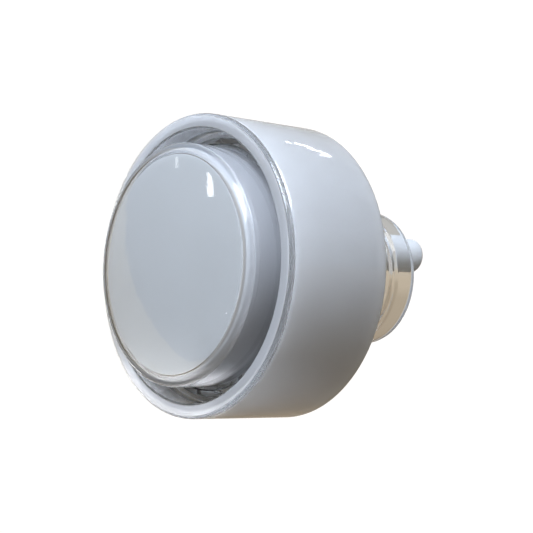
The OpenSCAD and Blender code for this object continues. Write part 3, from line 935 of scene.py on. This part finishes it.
def make_washer_and_spring():
    washer = lathe("washer", rounded([
        (LOCATOR_OUT_R + FIT_GAP, FLOOR_TOP, 0.08), (WASHER_R, FLOOR_TOP, 0.12), (WASHER_R, SPRING_LOW, 0.12),
        (LOCATOR_OUT_R + FIT_GAP, SPRING_LOW, 0.08)], 3))
    smooth(washer)
    dress(washer, STEEL, "housing", "plain_steel", "spring_washer")
    spring = made("spring", bmesh.new())
    grow(spring, coil_tree(), {"Radius": SPRING_R * MM, "Wire": WIRE_D * MM, "Coils": COILS,
                               "Low": SPRING_LOW * MM, "Height": (SPRING_TOP - SPRING_LOW) * MM,
                               "Material": STEEL})
    smooth(spring, COIL_SMOOTH_ANGLE)
    dress(spring, STEEL, "housing", "plain_steel", "return_spring")
    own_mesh(spring)


# The pieces of the plunger
def make_cap():
    edge_top = CAP_TOP - CAP_CROWN
    wall = CAP_R - CAP_WALL
    shares = [1 - k / CAP_STEPS for k in range(1, CAP_STEPS + 1)]
    face = [(CAP_FACE_R * u, edge_top + CAP_CROWN * (1 - u * u)) for u in shares]
    edge = arc(CAP_FACE_R, edge_top - CAP_ROUND, CAP_ROUND, CAP_ROUND, 0, 90, 14)
    inner = arc(wall - 0.6, DISC_TOP - 0.6, 0.6, 0.6, 90, 0, 6)
    lip = rounded([(wall, CAP_LOW, 0.2), (CAP_R, CAP_LOW, 0.3), (CAP_R, CAP_TOP, 0),
                   (wall, CAP_TOP, 0)], 3)[:-2]
    cap = lathe("clear_cap", lip + edge + face + [(0, DISC_TOP + 0.02)] + inner)
    smooth(cap)
    dress(cap, CAP_CLEAR, "plunger", "clear_cap", "plunger_cap")
    finish_zone(cap, CAP_EDGE, lambda r, z: r > CAP_FACE_R and z > edge_top - CAP_ROUND)


def make_disc():
    disc = lathe("diffuser", rounded([(0, DISC_LOW, 0), (DISC_R, DISC_LOW, 0.2), (DISC_R, DISC_TOP, 0.25),
                                      (0, DISC_TOP, 0)]))
    smooth(disc)
    dress(disc, DISC_WHITE, "plunger", "diffuser_white", "diffuser_disc")
    # The dark ring on the disc's outer edge is painted shade: the seam's shadow between the disc and the
    # cap's wall, painted as colour
    finish_zone(disc, DISC_EDGE_SHADE, lambda r, z: r > DISC_R - DISC_SHADE_W and z > DISC_TOP - DISC_SHADE_H)


def bridge_outline():
    """The leg's bridge across the carrier's opening: a band with round ends."""
    reach = CARRIER_OPENING + 1
    rows = [LEG_Y - BRIDGE_W / 2 + BRIDGE_W * k / 10 for k in range(11)]
    right = [(math.sqrt(reach * reach - y * y), y) for y in rows]
    return right + [(-x, y) for x, y in reversed(right)]


def make_carrier():
    inside = CARRIER_R - SKIRT_T
    carrier = lathe("carrier", rounded([
        (CARRIER_OPENING, CARRIER_LOW, 0.15), (LOCATOR_IN_R, CARRIER_LOW, 0),
        (LOCATOR_IN_R, CARRIER_LOW - LOCATOR_H, 0.15), (LOCATOR_OUT_R, CARRIER_LOW - LOCATOR_H, 0.15),
        (LOCATOR_OUT_R, CARRIER_LOW, 0), (CARRIER_R, CARRIER_LOW, 0.3), (CARRIER_R, DISC_LOW, 0.15),
        (inside, DISC_LOW, 0.15), (inside, CARRIER_TOP, 0.3), (CARRIER_OPENING, CARRIER_TOP, 0.15)]))
    bridge = slab(bridge_outline(), CARRIER_LOW, CARRIER_TOP)
    out = HOOK_IN_R + HOOK_T
    hook = strip([(HOOK_IN_R, HOOK_LOW), (out + BARB - 0.6, HOOK_LOW), (out + BARB, HOOK_LOW + 0.7),
                  (out + BARB, HOOK_LOW + BARB_H), (out, HOOK_LOW + BARB_H), (out, CARRIER_LOW + OVERLAP),
                  (HOOK_IN_R, CARRIER_LOW + OVERLAP)], HOOK_W)
    combine(carrier, [bridge, ring_of(hook, "snap_hooks", HOOKS, HOOK_TURN, CARRIER_GREY)], "UNION")
    low, high = CARRIER_LOW - OVERRUN, CARRIER_TOP + OVERRUN
    hole = pillar(LEG_R + FIT_GAP, low, high, (0, LEG_Y))
    pilot = pillar(SCREW_R + 0.01, low, high, (SCREW_PITCH / 2, 0), AROUND_SMALL)
    pilots = ring_of(pilot, "screw_pilots", 2, 0, CARRIER_GREY, (0, LEG_Y))
    combine(carrier, [hole, pilots], "DIFFERENCE")
    smooth(carrier)
    dress(carrier, CARRIER_GREY, "plunger", "grey_plastic", "plunger_carrier")


def flange_outline():
    """The leg's flange: a round boss with an ear for each screw."""
    boss, ear = LEG_R + 0.6, SCREW_HEAD_R
    meet = math.degrees(math.asin(ear / boss))
    half = SCREW_PITCH / 2
    points = arc(half, 0, ear, ear, -90, 90, 12) + arc(0, 0, boss, boss, meet, 180 - meet, 20)
    points += arc(-half, 0, ear, ear, 90, 270, 12) + arc(0, 0, boss, boss, 180 + meet, 360 - meet, 20)
    return [(x, y + LEG_Y) for x, y in points]


def make_leg():
    rod = [(0, LEG_TIP)] + arc(LEG_R - LEG_ROUND, LEG_TIP + LEG_ROUND, LEG_ROUND, LEG_ROUND, -90, 0, 12)
    rod_top = CARRIER_TOP + 0.3
    leg = lathe("leg", rod + [(LEG_R, rod_top), (0, rod_top)], (0, LEG_Y), AROUND_MIDDLE)
    flange = slab(flange_outline(), CARRIER_TOP, FLANGE_TOP, 0.15)
    combine(leg, [flange], "UNION")
    screw_x = SCREW_PITCH / 2
    hole = pillar(SCREW_R + FIT_GAP, CARRIER_TOP - OVERRUN, FLANGE_TOP + OVERRUN, (screw_x, 0), AROUND_SMALL)
    combine(leg, [ring_of(hole, "ear_holes", 2, 0, LEG_WHITE, (0, LEG_Y))], "DIFFERENCE")
    smooth(leg)
    dress(leg, LEG_WHITE, "plunger", "leg_white", "actuator_leg")
    edge = FLANGE_TOP + SCREW_HEAD_EDGE
    shank = [(0, CARRIER_LOW), (SCREW_R - 0.2, CARRIER_LOW), (SCREW_R, CARRIER_LOW + 0.3),
             (SCREW_R, FLANGE_TOP), (SCREW_HEAD_R, FLANGE_TOP)]
    dome = arc(0, edge, SCREW_HEAD_R, SCREW_TOP - edge, 0, 90, 8)
    screw = lathe("screw", shank + dome, (screw_x, 0), AROUND_MIDDLE // 2)
    for wide, deep in ((CROSS_LONG, CROSS_WIDE), (CROSS_WIDE, CROSS_LONG)):
        low = (screw_x - wide, -deep, SCREW_TOP - CROSS_DEEP)
        high = (screw_x + wide, deep, SCREW_TOP + OVERRUN)
        combine(screw, [block(low, high)], "DIFFERENCE")
    screws = ring_of(screw, "flange_screws", 2, 0, STEEL, (0, LEG_Y))
    smooth(screws)
    dress(screws, STEEL, "plunger", "plain_steel", "leg_screws")


# The lamp and its holder
def make_holder():
    holder_z = HOLDER_TOP - HOLDER_T
    skirt_low = HOLDER_TOP - HOLDER_SKIRT
    holder = lathe("holder", rounded([
        (0, holder_z, 0), (HOLDER_R - HOLDER_WALL, holder_z, 0.3), (HOLDER_R - HOLDER_WALL, skirt_low, 0.2),
        (HOLDER_R, skirt_low, 0.3), (HOLDER_R, HOLDER_TOP, 0.3), (0, HOLDER_TOP, 0)]), around=128)
    out = SOCKET_R + HOLDER_WALL
    socket_top = holder_z + OVERLAP
    socket = lathe("socket", rounded([(0, SOCKET_LOW, 0), (out, SOCKET_LOW, 0.4), (out, socket_top, 0),
                                      (0, socket_top, 0)]), (0, LAMP_Y), AROUND_MIDDLE)
    combine(holder, [socket], "UNION")
    face = WEDGE_T / 2 + LEAD_D
    deep = face + CONTACT_T + FIT_GAP
    pocket_low = SOCKET_LOW + HOLDER_WALL
    low, high = SOCKET_LOW - OVERRUN, HOLDER_TOP + OVERRUN
    wide, tab = WEDGE_W / 2 + FIT_GAP, TAB_W / 2 + FIT_GAP
    cuts = [pillar(LEG_R + 2 * FIT_GAP, low, high, (0, LEG_Y), AROUND_MIDDLE),
            pillar(SOCKET_R, SEAT_Z, high, (0, LAMP_Y), AROUND_MIDDLE),
            block((-wide, LAMP_Y - deep, pocket_low), (wide, LAMP_Y + deep, SEAT_Z + WEDGE_OVERLAP))]
    for side in (-1, 1):
        y = LAMP_Y + side * (face + CONTACT_T / 2)
        half = CONTACT_T / 2 + FIT_GAP
        cuts.append(block((-tab, y - half, low), (tab, y + half, pocket_low + OVERRUN)))
    combine(holder, cuts, "DIFFERENCE")
    smooth(holder)
    dress(holder, HOLDER_WHITE, "housing", "white_matte_plastic", "lamp_holder")


def make_contact(name, node, side):
    shoulder = SOCKET_LOW + HOLDER_WALL
    half, wide = TAB_W / 2, WEDGE_W / 2
    right = [(half - TAB_CORNER, TAB_LOW), (half, TAB_LOW + TAB_CORNER), (half, shoulder),
             (wide, shoulder), (wide, CONTACT_TOP)]
    outline = right + [(-x, y) for x, y in reversed(right)]
    contact = slab(outline, -CONTACT_T / 2, CONTACT_T / 2, 0.07)
    eye = pillar(TAB_W / 8, -OVERRUN, OVERRUN, (0, (TAB_LOW + SOCKET_LOW) / 2), AROUND_SMALL)
    combine(contact, [eye], "DIFFERENCE")
    contact.name = name
    y = LAMP_Y + side * (WEDGE_T / 2 + LEAD_D + CONTACT_T / 2)
    contact.data.transform(Matrix.Translation((0, y * MM, 0)) @ Matrix.Rotation(math.pi / 2, 4, "X"))
    smooth(contact)
    dress(contact, BRASS, "housing", "contact_brass", node)


def make_lamp():
    base = lathe("wedge_base", rounded([(0, SEAT_Z, 0), (LENS_R, SEAT_Z, 0.2), (LENS_R, LENS_LOW, 0.1),
                                        (0, LENS_LOW, 0)], 3), (0, LAMP_Y), AROUND_MIDDLE)
    wedge = block((-WEDGE_W / 2, LAMP_Y - WEDGE_T / 2, WEDGE_LOW),
                  (WEDGE_W / 2, LAMP_Y + WEDGE_T / 2, SEAT_Z + WEDGE_OVERLAP), 0.15)
    combine(base, [wedge], "UNION")
    smooth(base)
    dress(base, HOLDER_WHITE, "housing", "white_matte_plastic", "lamp_base")
    lead_place = (WEDGE_W / 4, (WEDGE_T + LEAD_D) / 2)
    lead = pillar(LEAD_D / 2, WEDGE_LOW + LEAD_START, SEAT_Z - 0.01, lead_place, AROUND_SMALL // 2)
    leads = ring_of(lead, "lead_wires", 2, 0, STEEL, (0, LAMP_Y))
    smooth(leads)
    dress(leads, STEEL, "housing", "plain_steel", "lamp_leads")
    board_top = LENS_LOW + BOARD_T
    board_r = LENS_R - LENS_WALL - FIT_GAP
    board = lathe("board", rounded([(0, LENS_LOW, 0), (board_r, LENS_LOW, 0.08), (board_r, board_top, 0.08),
                                    (0, board_top, 0)], 2), (0, LAMP_Y), AROUND_MIDDLE)
    smooth(board)
    dress(board, BOARD_WHITE, "housing", "board_white", "lamp_board")
    chip = block((LENS_R / 2 - CHIP_W / 2, -CHIP_D / 2, board_top),
                 (LENS_R / 2 + CHIP_W / 2, CHIP_D / 2, board_top + CHIP_H), 0.08)
    chips = ring_of(chip, "chips", CHIPS, 0, CHIP_YELLOW, (0, LAMP_Y))
    smooth(chips)
    dress(chips, CHIP_YELLOW, "housing", "chip_yellow", "light_chips")
    resistor = block((-RESISTOR_W / 2, LAMP_Y - RESISTOR_D / 2, board_top),
                     (RESISTOR_W / 2, LAMP_Y + RESISTOR_D / 2, board_top + RESISTOR_H), 0.06)
    resistor.name = "resistor"
    smooth(resistor)
    dress(resistor, RESISTOR_BLACK, "housing", "resistor_black", "lamp_resistor")
    inner = LENS_R - LENS_WALL
    dome = LENS_LOW + LENS_STRAIGHT
    lens = lathe("lens", [(LENS_R, LENS_LOW)] + arc(0, dome, LENS_R, LENS_R, 0, 90, 20)
                 + arc(0, dome, inner, inner, 90, 0, 20) + [(inner, LENS_LOW)], (0, LAMP_Y), AROUND_MIDDLE)
    smooth(lens)
    dress(lens, CLEAR, "housing", "clear_plastic", "lamp_lens")


# The scene: camera and light, then the materials, then the pieces
bpy.context.scene.view_settings.view_transform = "Standard"
make_camera()
make_world()
make_floor()
make_lamps()

MOULDED = moulded_group()
RING = ring_tree()
CLEAR = clear_plastic("clear plastic", (0.955, 0.965, 0.975), scuffs=0.4)
RIM_HAZE = clear_plastic("clear plastic rim", (0.96, 0.965, 0.975), clearness=0.42, roughness=0.08)
MATT_CLEAR = clear_plastic("clear plastic matt side", (0.98, 0.98, 0.985), clearness=1.0, roughness=0.55)
CAP_CLEAR = clear_plastic("clear cap plastic", (0.96, 0.97, 0.98), scuffs=0.5)
CAP_EDGE = clear_plastic("clear cap plastic edge", (0.91, 0.92, 0.93), clearness=0.68, roughness=0.04)
SLEEVE_WHITE = moulded("white sleeve plastic", (0.93, 0.93, 0.92), (0.92, 0.915, 0.905), roughness=0.045,
                       spread=0.02, scale=220, bump=0.012, specks=0.8, coat=0.6, milky=1.0, depth=7.0)
DISC_WHITE = moulded("milky disc", (0.74, 0.75, 0.74), (0.73, 0.74, 0.73), roughness=0.35, scale=400,
                     milky=0.8, depth=2.0)
# Dark brown of the disc's edge ring: painted shade of the shadowed seam, not a colour of the disc itself
DISC_EDGE_SHADE = moulded("painted shade at disc edge", (0.2, 0.17, 0.14), (0.26, 0.23, 0.19), roughness=0.5, scale=900)
CARRIER_GREY = moulded("grey carrier plastic", (0.52, 0.515, 0.525), (0.5, 0.495, 0.5), roughness=0.35,
                       milky=0.7, depth=4.0)
LEG_WHITE = moulded("white leg plastic", (0.9, 0.91, 0.91), (0.88, 0.89, 0.89), roughness=0.28,
                    milky=1.0, depth=3.0)
HOLDER_WHITE = moulded("white holder plastic", (0.74, 0.73, 0.69), (0.69, 0.68, 0.63), roughness=0.42)
BRASS = moulded("stamped brass", (0.78, 0.6, 0.28), (0.66, 0.47, 0.2), roughness=0.2, spread=0.18,
                scale=1500, metallic=1.0)
STEEL = moulded("zinc-plated steel", (0.64, 0.65, 0.67), (0.52, 0.52, 0.55), roughness=0.22, spread=0.15,
                scale=1800, metallic=1.0)
BOARD_WHITE = moulded("white board lacquer", (0.75, 0.78, 0.74), roughness=0.25, scale=1500)
CHIP_YELLOW = moulded("phosphor chip", (0.85, 0.72, 0.2), (0.8, 0.62, 0.15), roughness=0.45, scale=2000)
RESISTOR_BLACK = moulded("black resistor", (0.03, 0.03, 0.035), (0.05, 0.05, 0.05), roughness=0.4,
                         scale=2500)

make_housing()
make_sleeve()
make_washer_and_spring()
make_cap()
make_disc()
make_carrier()
make_leg()
make_holder()
make_contact("contact_strip_front", "contact_front", 1)
make_contact("contact_strip_rear", "contact_rear", -1)
make_lamp()
